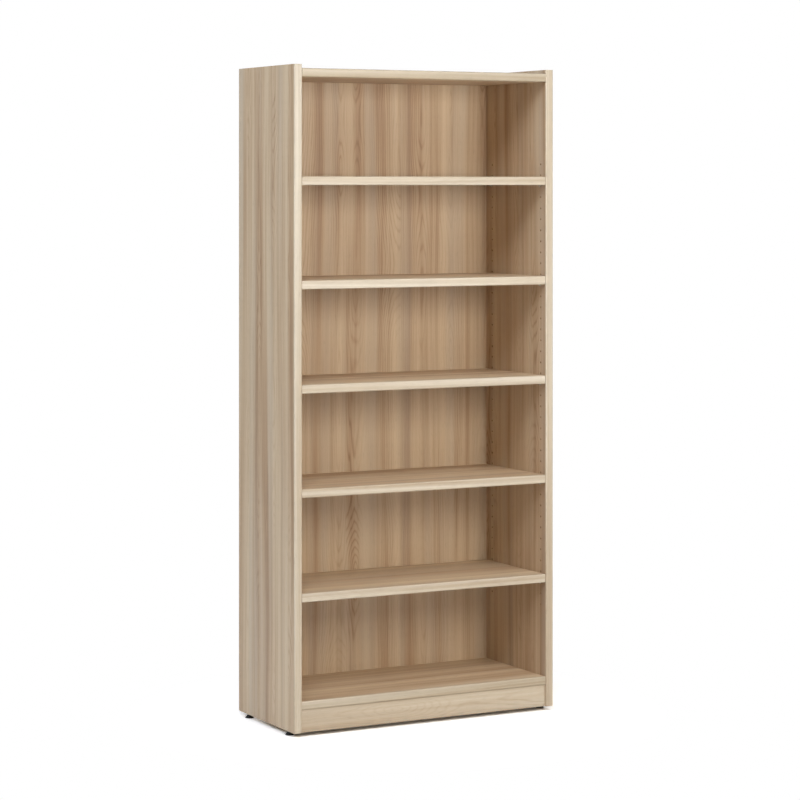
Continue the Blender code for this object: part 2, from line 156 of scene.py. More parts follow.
# Each softbox: where it stands, its width and height, its watts and its tint. All face the same point.
cool, daylight, warm = "#E5F0FF", "#F6F9FF", "#FFFCF6"
softboxes = {
    "left_front_high": ((-4.0, -6.0, 7.0), (3.0, 3.0), 335.0, daylight),
    "front_high": ((0.0, -6.0, 8.0), (3.0, 3.0), 140.0, daylight),
    "front_near": ((0.4, -3.0, 1.75), (1.4, 1.0), 44.0, warm),
    "front_nearer": ((0.0, -2.2, 1.8), (1.0, 0.8), 3.8, warm),
    "front_low": ((1.0, -7.0, 1.0), (3.0, 1.5), 37.0, warm),
    "right_high": ((2.5, -3.0, 5.0), (2.0, 2.0), 18.0, warm),
    "left_side": ((-3.5, -0.5, 2.75), (1.5, 1.5), 78.0, cool),
    "rear_right": ((2.4, 3.4, 2.4), (2.0, 2.0), 70.0, daylight),
    "rear_middle": ((0.2, 4.5, 2.0), (2.0, 2.0), 45.0, daylight),
}
lit_point = (0.0, 0.0, 1.0)
for name, (where, size, watts, tint) in softboxes.items():
    lamp = bpy.data.lights.new(name, "AREA")
    lamp.shape = "RECTANGLE"
    lamp.size, lamp.size_y = size
    lamp.energy = watts
    lamp.color = linear(tint)[:3]
    softbox = bpy.data.objects.new(name, lamp)
    softbox.location = where
    softbox.rotation_euler = (Vector(lit_point) - Vector(where)).to_track_quat("-Z", "Y").to_euler()
    bpy.context.scene.collection.objects.link(softbox)

# The camera looks level, so that uprights stay upright, and its lens is shifted down to take in the feet.
camera_place = (-3.4579, -6.4940, 1.4857)
camera_turn = math.radians(28.106)
level_sight = math.radians(90.0)
lens_mm = 117.47
film_width_mm = 36.0
lens_shift = -0.2680
sight_reach = 60.0

camera_data = bpy.data.cameras.new("camera")
camera_data.lens = lens_mm
camera_data.sensor_width = film_width_mm
camera_data.shift_y = lens_shift
camera_data.clip_end = sight_reach
camera = bpy.data.objects.new("camera", camera_data)
camera.location = camera_place
camera.rotation_euler = (level_sight, 0.0, -camera_turn)
bpy.context.scene.collection.objects.link(camera)
bpy.context.scene.camera = camera


# ---------------------------------------------------------------- side panels
# Two upright boards, 23.5 mm particle board faced with melamine printed as light elm. Each has two
# columns of 5 mm holes for shelf pins, a groove for the back, and pockets in its lower end for the
# inserts of the glides. A 3 mm band with rounded corners is glued to its front edge.

# Printed elm: broad soft streaks of beige, rose brown and grey a few centimetres wide, narrow streaks
# inside them, and faint rings, nested in long arches where the veneer was cut flat. Pressed satin, with
# a shallow texture of pores along the grain.
strip_width = 0.095
ring_spacing = 0.006
sway_reach = 0.014
pith_reach = 0.05
pith_above, pith_below = -0.03, 0.06
ripple_reach = 0.006
broad_share, narrow_share, fibre_share, strip_share = 0.42, 0.13, 0.07, 0.09
mean_tone = 0.42
front_polish = 0.04
board_tones = {
    "pale": "#D3BD9D",
    "beige": "#C9B090",
    "rose": "#B79979",
    "brown": "#9B7959",
    "grey": "#C0B09B",
}
band_tones = {
    "pale": "#CEC1AE",
    "beige": "#C2B39C",
    "rose": "#B4A188",
    "brown": "#A38D73",
    "grey": "#C3B9A9",
}
front_y = cad_bounds[0][1]


def elm_laminate(name, along, shift, tones=board_tones, rings=1.0, finer=1.0):
    """A laminate with its grain along "X", "Y" or "Z".

    shift moves the cut across and along the print, in metres. rings makes the rings bolder or fainter, and
    finer makes the streaks that many times narrower, as on a narrow band.
    """
    made, tree, out = blank(name)
    place = node(tree, "ShaderNodeTexCoord", {}).outputs["Object"]
    x, y, z = node(tree, "ShaderNodeSeparateXYZ", {0: place}).outputs
    lengthwise, one, other = {"X": (x, y, z), "Y": (y, x, z), "Z": (z, x, y)}[along]
    crosswise = node(tree, "ShaderNodeMath", {0: one, 1: other}, operation="ADD").outputs[0]
    across = node(tree, "ShaderNodeMath", {0: crosswise, 1: shift[0]}, operation="ADD").outputs[0]
    length = node(tree, "ShaderNodeMath", {0: lengthwise, 1: shift[1]}, operation="ADD").outputs[0]
    flat = node(tree, "ShaderNodeCombineXYZ", {0: across, 1: length}).outputs[0]

    # The grain sways by up to sway_reach to either side along the length.
    sway_at = node(tree, "ShaderNodeMapping", {0: flat, 3: (7.0, 1.1, 1.0)}).outputs[0]
    sway = node(tree, "ShaderNodeTexNoise", {0: sway_at, "Scale": 1.0, "Detail": 1.5, "Roughness": 0.4})
    swayed = node(tree, "ShaderNodeMapRange", {0: sway.outputs[0], 3: -sway_reach, 4: sway_reach}).outputs[0]
    bent = node(tree, "ShaderNodeMath", {0: across, 1: swayed}, operation="ADD").outputs[0]
    grain = node(tree, "ShaderNodeCombineXYZ", {0: bent, 1: length}).outputs[0]

    # Strips of veneer of uneven width, each with three random numbers of its own.
    strips = node(
        tree, "ShaderNodeTexVoronoi", {"W": across, "Scale": 1.0 / strip_width, "Randomness": 0.5},
        voronoi_dimensions="1D", feature="F1",
    )
    numbers = node(tree, "ShaderNodeSeparateColor", {0: strips.outputs["Color"]})
    tilt, deep_seed, strip_tone = numbers.outputs
    middle = strips.outputs["W"]
    off_middle = node(tree, "ShaderNodeMath", {0: bent, 1: middle}, operation="SUBTRACT").outputs[0]
    pith = node(tree, "ShaderNodeMapRange", {0: tilt, 3: -pith_reach, 4: pith_reach}).outputs[0]
    from_pith = node(tree, "ShaderNodeMath", {0: off_middle, 1: pith}, operation="ADD").outputs[0]

    # Rings cut by a flat plane: distance to a pith that rises and sinks slowly along the length.
    deep_at = node(tree, "ShaderNodeMath", {0: deep_seed, 1: 40.0, 2: length}, operation="MULTIPLY_ADD")
    deep = node(
        tree, "ShaderNodeTexNoise", {"W": deep_at.outputs[0], "Scale": 1.4, "Detail": 1.0, "Roughness": 0.4},
        noise_dimensions="1D",
    )
    depth = node(
        tree, "ShaderNodeMapRange", {0: deep.outputs[0], 1: 0.2, 2: 0.8, 3: pith_above, 4: pith_below},
    ).outputs[0]
    depth_squared = node(tree, "ShaderNodeMath", {0: depth, 1: depth}, operation="MULTIPLY").outputs[0]
    radius_squared = node(
        tree, "ShaderNodeMath", {0: from_pith, 1: from_pith, 2: depth_squared}, operation="MULTIPLY_ADD",
    ).outputs[0]
    radius = node(tree, "ShaderNodeMath", {0: radius_squared}, operation="SQRT").outputs[0]
    ripple_at = node(tree, "ShaderNodeMapping", {0: flat, 3: (45.0, 4.0, 1.0)}).outputs[0]
    ripple = node(tree, "ShaderNodeTexNoise", {0: ripple_at, "Scale": 1.0, "Detail": 2.0, "Roughness": 0.5})
    rippled = node(
        tree, "ShaderNodeMapRange", {0: ripple.outputs[0], 3: -ripple_reach, 4: ripple_reach},
    ).outputs[0]
    ring_at = node(tree, "ShaderNodeMath", {0: radius, 1: rippled}, operation="ADD").outputs[0]
    ring_count = node(tree, "ShaderNodeMath", {0: ring_at, 1: ring_spacing}, operation="DIVIDE").outputs[0]
    year = node(tree, "ShaderNodeMath", {0: ring_count}, operation="FRACT").outputs[0]

    # Each ring is palest just after its start and darkest near its end, where the late wood is.
    ring = node(tree, "ShaderNodeValToRGB", {0: year})
    stops = ring.color_ramp.elements
    stops[0].position, stops[0].color = 0.0, (0.25, 0.25, 0.25, 1.0)
    stops[1].position, stops[1].color = 1.0, (0.25, 0.25, 0.25, 1.0)
    for position, value in ((0.20, 0.0), (0.60, 0.12), (0.82, 1.0), (0.92, 0.75)):
        stop = stops.new(position)
        stop.color = (value, value, value, 1.0)
    faint_at = node(tree, "ShaderNodeMapping", {0: flat, 1: (3.7, 1.3, 0.0), 3: (14.0, 1.0, 1.0)}).outputs[0]
    faint = node(tree, "ShaderNodeTexNoise", {0: faint_at, "Scale": 1.0, "Detail": 1.0})
    boldness = node(
        tree, "ShaderNodeMapRange", {0: faint.outputs[0], 1: 0.38, 2: 0.66, 3: 0.04, 4: 0.30 * rings},
    )
    line = node(
        tree, "ShaderNodeMath", {0: ring.outputs[0], 1: boldness.outputs[0]}, operation="MULTIPLY",
    ).outputs[0]

    # Streaks about 40 mm, 10 mm and 2.5 mm wide: the finest real fibres are thinner, and drawn no finer.
    # Each adds its share to the tone, which runs from pale at 0 to brown at 1.
    broad_at = node(tree, "ShaderNodeMapping", {0: grain, 3: (24.0 * finer, 0.55, 1.0)}).outputs[0]
    broad = node(tree, "ShaderNodeTexNoise", {0: broad_at, "Scale": 1.0, "Detail": 2.0, "Roughness": 0.5})
    narrow_at = node(tree, "ShaderNodeMapping", {0: grain, 3: (105.0 * finer, 1.1, 1.0)}).outputs[0]
    narrow = node(tree, "ShaderNodeTexNoise", {0: narrow_at, "Scale": 1.0, "Detail": 2.0, "Roughness": 0.55})
    fibre_at = node(tree, "ShaderNodeMapping", {0: grain, 3: (400.0, 5.0, 1.0)}).outputs[0]
    fibre = node(tree, "ShaderNodeTexNoise", {0: fibre_at, "Scale": 1.0, "Detail": 2.0, "Roughness": 0.6})
    shares = [
        node(
            tree, "ShaderNodeMapRange", {0: streaks.outputs[0], 1: 0.25, 2: 0.75, 3: -share, 4: share},
            clamp=False,
        ).outputs[0]
        for streaks, share in ((broad, broad_share), (narrow, narrow_share), (fibre, fibre_share))
    ]
    strip_part = node(tree, "ShaderNodeMapRange", {0: strip_tone, 3: -strip_share, 4: strip_share}).outputs[0]
    wide_part = node(tree, "ShaderNodeMath", {0: shares[0], 1: shares[1]}, operation="ADD").outputs[0]
    fine_part = node(tree, "ShaderNodeMath", {0: shares[2], 1: strip_part}, operation="ADD").outputs[0]
    streaked = node(tree, "ShaderNodeMath", {0: wide_part, 1: fine_part}, operation="ADD").outputs[0]
    lined = node(tree, "ShaderNodeMath", {0: streaked, 1: line}, operation="ADD").outputs[0]
    warmth = node(
        tree, "ShaderNodeMath", {0: lined, 1: mean_tone}, operation="ADD", use_clamp=True,
    ).outputs[0]
    wood = node(tree, "ShaderNodeValToRGB", {0: warmth})
    stops = wood.color_ramp.elements
    stops[0].position, stops[0].color = 0.10, linear(tones["pale"])
    stops[1].position, stops[1].color = 0.95, linear(tones["brown"])
    for position, tone_name in ((0.38, "beige"), (0.68, "rose")):
        stop = stops.new(position)
        stop.color = linear(tones[tone_name])
    grey_at = node(tree, "ShaderNodeMapping", {0: grain, 1: (7.1, 2.3, 0.0), 3: (19.0, 0.5, 1.0)}).outputs[0]
    greys = node(tree, "ShaderNodeTexNoise", {0: grey_at, "Scale": 1.0, "Detail": 2.0})
    greyness = node(
        tree, "ShaderNodeMapRange", {0: greys.outputs[0], 1: 0.48, 2: 0.72, 3: 0.0, 4: 0.5},
    ).outputs[0]
    cooled = node(
        tree, "ShaderNodeMix", {0: greyness, 6: wood.outputs[0], 7: linear(tones["grey"])},
        data_type="RGBA",
    )

    # Pores: shallow dashes, really 0.2 mm wide, drawn 0.6 mm wide and about 15 mm long.
    pore_at = node(tree, "ShaderNodeMapping", {0: grain, 3: (850.0, 40.0, 1.0)}).outputs[0]
    pore = node(tree, "ShaderNodeTexNoise", {0: pore_at, "Scale": 1.0, "Detail": 1.0})
    pores = node(tree, "ShaderNodeMapRange", {0: pore.outputs[0], 1: 0.60, 2: 0.72}).outputs[0]
    relief = node(
        tree, "ShaderNodeMath", {0: pores, 1: -0.7, 2: fibre.outputs[0]}, operation="MULTIPLY_ADD",
    )
    bump = node(
        tree, "ShaderNodeBump", {"Strength": 0.15, "Distance": 0.0003, "Height": relief.outputs[0]},
    )
    darkened = node(tree, "ShaderNodeMapRange", {0: pores, 3: 1.0, 4: 0.88}).outputs[0]
    printed = node(
        tree, "ShaderNodeMix", {0: 1.0, 6: cooled.outputs[2], 7: darkened},
        data_type="RGBA", blend_type="MULTIPLY",
    )

    # Hands have polished the front a little, over front_polish, and smears vary the sheen elsewhere.
    smears = node(tree, "ShaderNodeTexNoise", {0: place, "Scale": 5.0, "Detail": 4.0})
    satin = node(tree, "ShaderNodeMapRange", {0: smears.outputs[0], 1: 0.3, 2: 0.7, 3: 0.44, 4: 0.54})
    polish = node(
        tree, "ShaderNodeMapRange", {0: y, 1: front_y, 2: front_y + front_polish, 3: -0.07, 4: 0.0},
    )
    sheen = node(
        tree, "ShaderNodeMath", {0: satin.outputs[0], 1: polish.outputs[0]}, operation="ADD",
    ).outputs[0]
    shader = node(
        tree, "ShaderNodeBsdfPrincipled",
        {"Base Color": printed.outputs[2], "Roughness": sheen, "IOR": 1.5, "Normal": bump.outputs[0]},
    )
    tree.links.new(shader.outputs[0], out.inputs["Surface"])
    return made


# Particle board where it was cut: chips 1 to 3 mm across in browns and tans, pressed in a darker glue.
particle_core, tree, out = blank("particle_board_core")
place = node(tree, "ShaderNodeTexCoord", {}).outputs["Object"]
chips = node(tree, "ShaderNodeTexVoronoi", {"Vector": place, "Scale": 550.0, "Randomness": 1.0})
dust = node(tree, "ShaderNodeTexNoise", {"Vector": place, "Scale": 160.0, "Detail": 4.0})
chip_tone = node(tree, "ShaderNodeSeparateColor", {0: chips.outputs["Color"]}).outputs[0]
core_tone = node(tree, "ShaderNodeMix", {0: 0.45, 2: chip_tone, 3: dust.outputs[0]}, data_type="FLOAT")
core_colour = node(tree, "ShaderNodeValToRGB", {0: core_tone.outputs[0]})
core_colour.color_ramp.elements[0].color = linear("#5B4029")
core_colour.color_ramp.elements[1].color = linear("#C2A077")
core_bump = node(
    tree, "ShaderNodeBump", {"Strength": 0.5, "Distance": 0.0005, "Height": core_tone.outputs[0]},
)
core_rough = node(tree, "ShaderNodeMapRange", {0: dust.outputs[0], 3: 0.80, 4: 0.95})
core = node(
    tree, "ShaderNodeBsdfPrincipled",
    {
        "Base Color": core_colour.outputs[0],
        "Roughness": core_rough.outputs[0],
        "IOR": 1.45,
        "Normal": core_bump.outputs[0],
    },
)
tree.links.new(core.outputs[0], out.inputs["Surface"])


sliver = 0.000001


def settle(piece):
    """Turns a piece's modifiers into its mesh, without the slivers that a cut can leave."""
    bpy.context.view_layer.update()
    evaluated = piece.evaluated_get(bpy.context.evaluated_depsgraph_get())
    mesh = bpy.data.meshes.new_from_object(evaluated)
    is_cut = any(modifier.type == "BOOLEAN" for modifier in piece.modifiers)
    piece.modifiers.clear()
    if is_cut:
        bm = bmesh.new()
        bm.from_mesh(mesh)
        bmesh.ops.remove_doubles(bm, verts=bm.verts, dist=sliver)
        bmesh.ops.dissolve_degenerate(bm, edges=bm.edges, dist=sliver)
        bm.to_mesh(mesh)
        bm.free()
    piece.data = mesh


def smooth(piece, degrees=35):
    """Shades the rounds smooth and keeps the flats flat."""
    for polygon in piece.data.polygons:
        polygon.use_smooth = True
    piece.data.set_sharp_from_angle(angle=math.radians(degrees))
    weights = piece.modifiers.new("flat_faces", "WEIGHTED_NORMAL")
    weights.keep_sharp = True
    weights.weight = 100
    settle(piece)


def add_box(bm, low, high):
    """Adds a box between two corners, and returns its edges."""
    low, high = Vector(low), Vector(high)
    place = Matrix.Translation((low + high) / 2) @ Matrix.Diagonal((*(high - low), 1.0))
    verts = bmesh.ops.create_cube(bm, size=1.0, matrix=place)["verts"]
    return list({edge for vert in verts for edge in vert.link_edges})


def add_turned(bm, profile, place, steps):
    """Adds a solid turned about its own Z. profile lists (radius, height); a radius of 0 closes an end."""
    rings = []
    for radius, height in profile:
        if radius == 0:
            rings.append([bm.verts.new(place @ Vector((0, 0, height)))])
            continue
        turns = [2 * math.pi * i / steps for i in range(steps)]
        rings.append([
            bm.verts.new(place @ Vector((radius * math.cos(a), radius * math.sin(a), height))) for a in turns
        ])
    closed = profile[0][0] > 0
    pairs = list(zip(rings, rings[1:] + rings[:1])) if closed else list(zip(rings, rings[1:]))
    for above, below in pairs:
        for i in range(steps):
            j = (i + 1) % steps
            corners = [
                above[i % len(above)], above[j % len(above)], below[j % len(below)], below[i % len(below)],
            ]
            bm.faces.new(list(dict.fromkeys(corners)))


def meshed(name, bm):
    """The finished mesh of a bmesh, with its faces turned outwards."""
    bmesh.ops.recalc_face_normals(bm, faces=bm.faces)
    mesh = bpy.data.meshes.new(name)
    bm.to_mesh(mesh)
    bm.free()
    return mesh


def board(name, low, high, finish, arris=0.0003):
    """A board with its sharp edges just broken."""
    bm = bmesh.new()
    edges = add_box(bm, low, high)
    bmesh.ops.bevel(bm, geom=edges, offset=arris, segments=1, affect="EDGES")
    return shown(name, meshed(name, bm), finish)


def carve(piece, bm, finish):
    """Cuts the shapes in bm out of a piece. The cut faces show the finish given."""
    cutter = shown("cutter", meshed("cutter", bm), finish)
    cut = piece.modifiers.new("cut", "BOOLEAN")
    cut.operation = "DIFFERENCE"
    cut.solver = "EXACT"
    cut.material_mode = "TRANSFER"
    cut.object = cutter
    settle(piece)
    bpy.data.objects.remove(cutter, do_unlink=True)


band_thick = 0.003
band_round = 0.0028
band_steps = 5
glue_line = 0.0001


def edge_band(name, low, high, along, finish):
    """A band over a board's front edge, between two corners, with its two front corners rounded."""
    bm = bmesh.new()
    edges = add_box(bm, low, high)
    run = "XYZ".index(along)
    front = []
    for edge in edges:
        start, end = (vert.co for vert in edge.verts)
        in_front = max(start.y, end.y) < low[1] + glue_line
        if in_front and abs(start[run] - end[run]) > band_thick:
            front.append(edge)
    bmesh.ops.bevel(bm, geom=front, offset=band_round, segments=band_steps, profile=0.5, affect="EDGES")
    made = shown(name, meshed(name, bm), finish)
    smooth(made)
    return made


def towards(x, y, z, direction):
    """The place of a shape whose own Z points in a direction, with its origin at a point."""
    turn = Vector(direction).to_track_quat("Z", "Y").to_matrix().to_4x4()
    return Matrix.Translation((x, y, z)) @ turn


pin_hole_radius = 0.0025
pin_hole_depth = 0.0112
pin_hole_rim = 0.0003
pin_hole_steps = 16
shelf_spacing = 0.2809
holes_between_shelves = 9
pin_hole_pitch = shelf_spacing / holes_between_shelves
pin_holes = 41
holes_below_first_pins = 2
tongue_rise = 0.0032
pin_rows = (front_y + 0.0286, front_y + 0.3028)
groove_clear = 0.0003
groove_deep = 0.006
overcut = 0.002
insert_pocket_radius = 0.0064
insert_pocket_top = 0.0333
stem_pocket_radius = 0.0043
stem_pocket_top = 0.0440
pocket_steps = 32
glide_inset = 0.012
glide_rows = (front_y + 0.054, front_y + 0.312)

first_tongue_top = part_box("shelf_pin_1_front_left")[1][2]
first_hole = first_tongue_top - tongue_rise - holes_below_first_pins * pin_hole_pitch
back_low, back_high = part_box("back_panel")
side_cuts = {"left_side_panel": (0.31, 0.0), "right_side_panel": (1.27, 0.4)}
band_rings = 0.3
band_finer = 2.2
band_upright = elm_laminate("elm_edge_band_upright", "Z", (2.3, 0.7), band_tones, band_rings, band_finer)

# The top end of each side is closed by a strip of the same print, laid from front to back.
top_end_strip = elm_laminate("elm_strip_on_top_end", "Y", (1.4, 0.2), finer=1.5)

for name, shift in side_cuts.items():
    low, high = (Vector(corner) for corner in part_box(name))
    sign = -1 if low.x < 0 else 1
    inner = high.x if sign < 0 else low.x
    front = Vector((low.x, low.y + band_thick, low.z))
    panel = board(f"{name}_board", front, high, elm_laminate(f"elm_laminate_{name}", "Z", shift))

    bm = bmesh.new()
    pin_hole = [
        (0.0, -overcut),
        (pin_hole_radius + pin_hole_rim + overcut, -overcut),
        (pin_hole_radius, pin_hole_rim),
        (pin_hole_radius, pin_hole_depth - pin_hole_radius / 2),
        (0.0, pin_hole_depth),
    ]
    for y in pin_rows:
        for i in range(pin_holes):
            z = first_hole + i * pin_hole_pitch
            add_turned(bm, pin_hole, towards(inner, y, z, (sign, 0, 0)), pin_hole_steps)
    carve(panel, bm, particle_core)

    bm = bmesh.new()
    groove_x = sorted((inner - sign * overcut, inner + sign * groove_deep))
    add_box(
        bm,
        (groove_x[0], back_low[1] - groove_clear, back_low[2] - groove_clear),
        (groove_x[1], back_high[1] + groove_clear, back_high[2] + groove_clear),
    )
    glide_x = low.x + glide_inset if sign < 0 else high.x - glide_inset
    pocket = [
        (0.0, low.z - overcut),
        (insert_pocket_radius, low.z - overcut),
        (insert_pocket_radius, insert_pocket_top),
        (stem_pocket_radius, insert_pocket_top),
        (stem_pocket_radius, stem_pocket_top),
        (0.0, stem_pocket_top),
    ]
    for y in glide_rows:
        add_turned(bm, pocket, Matrix.Translation((glide_x, y, 0.0)), pocket_steps)
    carve(panel, bm, particle_core)
    panel.data.materials.append(top_end_strip)
    for face in panel.data.polygons:
        if face.center.z > high.z - glue_line:
            face.material_index = len(panel.data.materials) - 1
    smooth(panel)
    rear_of_band = low.y + band_thick - glue_line
    band = edge_band(f"{name}_edge_band", low, (high.x, rear_of_band, high.z), "Z", band_upright)
    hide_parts(name)
    for piece in (panel, band):
        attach(piece, "case")


# ---------------------------------------------------------------- top and bottom panels
# The two fixed level boards, laminated like the sides with the grain from side to side. Each has a
# groove for the back, four round pockets for cams, and bores in its ends for their bolts. The top panel's
# cams are let into its upper face, and the bottom panel's into its underside.

cam_pocket_radius = 0.0077
cam_pocket_depth = 0.0165
bolt_bore_radius = 0.0040
bolt_bore_length = 0.034
cam_pocket_steps = 48
bolt_bore_steps = 24
level_cuts = {"top_panel": (0.2, 0.9), "bottom_panel": (1.9, 0.1)}
corners_of_the_case = [(row, side) for row in ("front", "rear") for side in ("left", "right")]

# The bands of the top and bottom panels are drawn darker than those of the sides and shelves:
# painted shade at the top and at the foot of the case.
band_tones_painted_shade = {
    "pale": "#C1B29C",
    "beige": "#B5A58C",
    "rose": "#A8957A",
    "brown": "#988267",
    "grey": "#B6AB98",
}
band_with_painted_shade = elm_laminate(
    "elm_edge_band_painted_shade", "X", (5.3, 0.8), band_tones_painted_shade, 0.5, band_finer,
)

for name, shift in level_cuts.items():
    low, high = (Vector(corner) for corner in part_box(name))
    level = name.split("_")[0]
    looks = 1 if level == "top" else -1
    cam_face = high.z if level == "top" else low.z
    inside = low.z if level == "top" else high.z
    front = Vector((low.x, low.y + band_thick, low.z))
    panel = board(f"{name}_board", front, high, elm_laminate(f"elm_laminate_{name}", "X", shift))

    bm = bmesh.new()
    groove_z = sorted((inside - looks * overcut, inside + looks * groove_deep))
    add_box(
        bm,
        (low.x - overcut, back_low[1] - groove_clear, groove_z[0]),
        (high.x + overcut, back_high[1] + groove_clear, groove_z[1]),
    )
    pocket = [
        (0.0, overcut),
        (cam_pocket_radius, overcut),
        (cam_pocket_radius, -cam_pocket_depth),
        (0.0, -cam_pocket_depth),
    ]
    for row, side in corners_of_the_case:
        cam_low, cam_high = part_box(f"cam_lock_{level}_{row}_{side}")
        x, y = (cam_low[0] + cam_high[0]) / 2, (cam_low[1] + cam_high[1]) / 2
        add_turned(bm, pocket, towards(x, y, cam_face, (0, 0, looks)), cam_pocket_steps)
    carve(panel, bm, particle_core)
    bm = bmesh.new()
    bore = [
        (0.0, overcut),
        (bolt_bore_radius, overcut),
        (bolt_bore_radius, -bolt_bore_length),
        (0.0, -bolt_bore_length),
    ]
    for row, side in corners_of_the_case:
        bolt_low, bolt_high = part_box(f"cam_bolt_{level}_{row}_{side}")
        y, z = (bolt_low[1] + bolt_high[1]) / 2, (bolt_low[2] + bolt_high[2]) / 2
        sign = -1 if side == "left" else 1
        add_turned(bm, bore, towards(sign * high.x, y, z, (sign, 0, 0)), bolt_bore_steps)
    carve(panel, bm, particle_core)
    smooth(panel)
    rear_of_band = low.y + band_thick - glue_line
    # This band's darker tones are painted shade.
    band = edge_band(f"{name}_edge_band", low, (high.x, rear_of_band, high.z), "X", band_with_painted_shade)
    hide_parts(name)
    for piece in (panel, band):
        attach(piece, "case")


# ---------------------------------------------------------------- back panel
# One 6 mm sheet let into the grooves on all four sides, with the same print on both faces and its
# grain upright. Its edges are as the saw left them.

low, high = (Vector(corner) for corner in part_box("back_panel"))
back = board("back_panel_sheet", low, high, elm_laminate("elm_laminate_back_panel", "Z", (1.7, 0.6)))
back.data.materials.append(particle_core)
for polygon in back.data.polygons:
    if abs(polygon.normal.y) < 0.9:
        polygon.material_index = 1
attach(back, "case")
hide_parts("back_panel")


# ---------------------------------------------------------------- kick board
# The board that closes the plinth in front, set back under the bottom panel. Its laminate is from a
# greyer batch, grain from side to side. A thin band closes its lower edge against damp from mopping.

kick_band = 0.0010
kick_arris = 0.0002
kick_tones = {
    "pale": "#C8BAA2",
    "beige": "#BEAC93",
    "rose": "#AE997E",
    "brown": "#987F64",
    "grey": "#BAAF9E",
}
kick_finish = elm_laminate("elm_laminate_kick_board", "X", (3.3, 1.6), kick_tones)
band_level = elm_laminate("elm_edge_band_level", "X", (4.1, 0.3), band_tones, band_rings, band_finer)
low, high = (Vector(corner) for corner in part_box("kick_board"))
above_band = Vector((low.x, low.y, low.z + kick_band))
kick = board("kick_board_panel", above_band, high, kick_finish)
smooth(kick)
top_of_strip = Vector((high.x, high.y, above_band.z - glue_line))
kick_strip = board("kick_board_edge_band", low, top_of_strip, band_level, kick_arris)
smooth(kick_strip)
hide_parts("kick_board")
for piece in (kick, kick_strip):
    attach(piece, "case")


# ---------------------------------------------------------------- shelves
# Five loose boards with the rounded band in front and the grain from side to side. They lie on their
# pins, 1 mm short of the sides at each end and of the back behind.

shelf_cuts = ((0.63, 2.1), (1.11, 0.5), (2.6, 1.4), (3.7, 0.2), (0.05, 3.3))
for number, shift in enumerate(shelf_cuts, 1):
    name = f"shelf_{number}"
    low, high = (Vector(corner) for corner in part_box(name))
    front = Vector((low.x, low.y + band_thick, low.z))
    shelf = board(f"{name}_board", front, high, elm_laminate(f"elm_laminate_{name}", "X", shift))
    smooth(shelf)
    rear_of_band = low.y + band_thick - glue_line
    band = edge_band(f"{name}_edge_band", low, (high.x, rear_of_band, high.z), "X", band_level)
    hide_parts(name)
    for piece in (shelf, band):
        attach(piece, name)


# ---------------------------------------------------------------- shelf pins
# Twenty spoon pins pressed from steel and nickel plated, four under each shelf: a stud in a hole of the
# side, a collar against its face, and a flat tongue on a short neck that the shelf lies on.

# Barrel-plated nickel: warm white metal, brighter and duller in small random patches, with faint
# rings 0.25 mm apart left by the tool on the turned parts.
nickel, tree, out = blank("nickel_plated_steel")
place = node(tree, "ShaderNodeTexCoord", {}).outputs["Object"]
tooling_at = node(tree, "ShaderNodeMapping", {0: place, 3: (1.0, 0.1, 0.1)}).outputs[0]
tooling = node(tree, "ShaderNodeTexNoise", {"Vector": tooling_at, "Scale": 4000.0, "Detail": 1.0})
stains = node(tree, "ShaderNodeTexNoise", {"Vector": place, "Scale": 350.0, "Detail": 3.0})
nickel_tone = node(
    tree, "ShaderNodeMix", {0: stains.outputs[0], 6: linear("#B9AF9F"), 7: linear("#D6CFC2")},
    data_type="RGBA",
)
nickel_rough = node(tree, "ShaderNodeMapRange", {0: stains.outputs[0], 1: 0.3, 2: 0.7, 3: 0.20, 4: 0.38})
nickel_bump = node(
    tree, "ShaderNodeBump", {"Strength": 0.2, "Distance": 0.0001, "Height": tooling.outputs[0]},
)
plated = node(
    tree, "ShaderNodeBsdfPrincipled",
    {
        "Base Color": nickel_tone.outputs[2],
        "Metallic": 1.0,
        "Roughness": nickel_rough.outputs[0],
        "Normal": nickel_bump.outputs[0],
    },
)
tree.links.new(plated.outputs[0], out.inputs["Surface"])

stud_radius = 0.0023
stud_length = 0.0090
collar_radius = 0.0032
collar_face = 0.0003
collar_thick = 0.0010
collar_arris = 0.0002
collar_back = collar_face + collar_thick
tongue_width = 0.0076
tongue_thick = 0.0018
tongue_reach = 0.0093
tongue_corner = 0.0030
tongue_arris = 0.0003
corner_steps = 8
neck_reach = 0.0055
pin_steps = 32
pin_smooth = 40


def weld(piece, other):
    """Joins another closed piece onto this one."""
    joined = piece.modifiers.new("weld", "BOOLEAN")
    joined.operation = "UNION"
    joined.solver = "EXACT"
    joined.object = other
    settle(piece)
    bpy.data.objects.remove(other, do_unlink=True)


# The turned half, with its own Z into the case: a tapered nose, a slightly waisted stud and the collar.
pin_profile = [
    (0.0, -stud_length),
    (stud_radius * 0.55, -stud_length),
    (stud_radius * 0.9, -0.0084),
    (stud_radius, -0.0076),
    (stud_radius, -0.0050),
    (stud_radius * 0.93, -0.0046),
    (stud_radius * 0.93, -0.0016),
    (stud_radius, -0.0012),
    (stud_radius, collar_face),
    (collar_radius - collar_arris, collar_face),
    (collar_radius, collar_face + collar_arris),
    (collar_radius, collar_back - collar_arris),
    (collar_radius - collar_arris, collar_back),
    (stud_radius * 0.9, collar_back),
    (stud_radius * 0.8, neck_reach - 0.0008),
    (stud_radius * 0.6, neck_reach),
    (0.0, neck_reach),
]
bm = bmesh.new()
add_turned(bm, pin_profile, towards(0, 0, 0, (1, 0, 0)), pin_steps)
pin_piece = shown("shelf_pin_stud", meshed("shelf_pin_stud", bm), nickel)

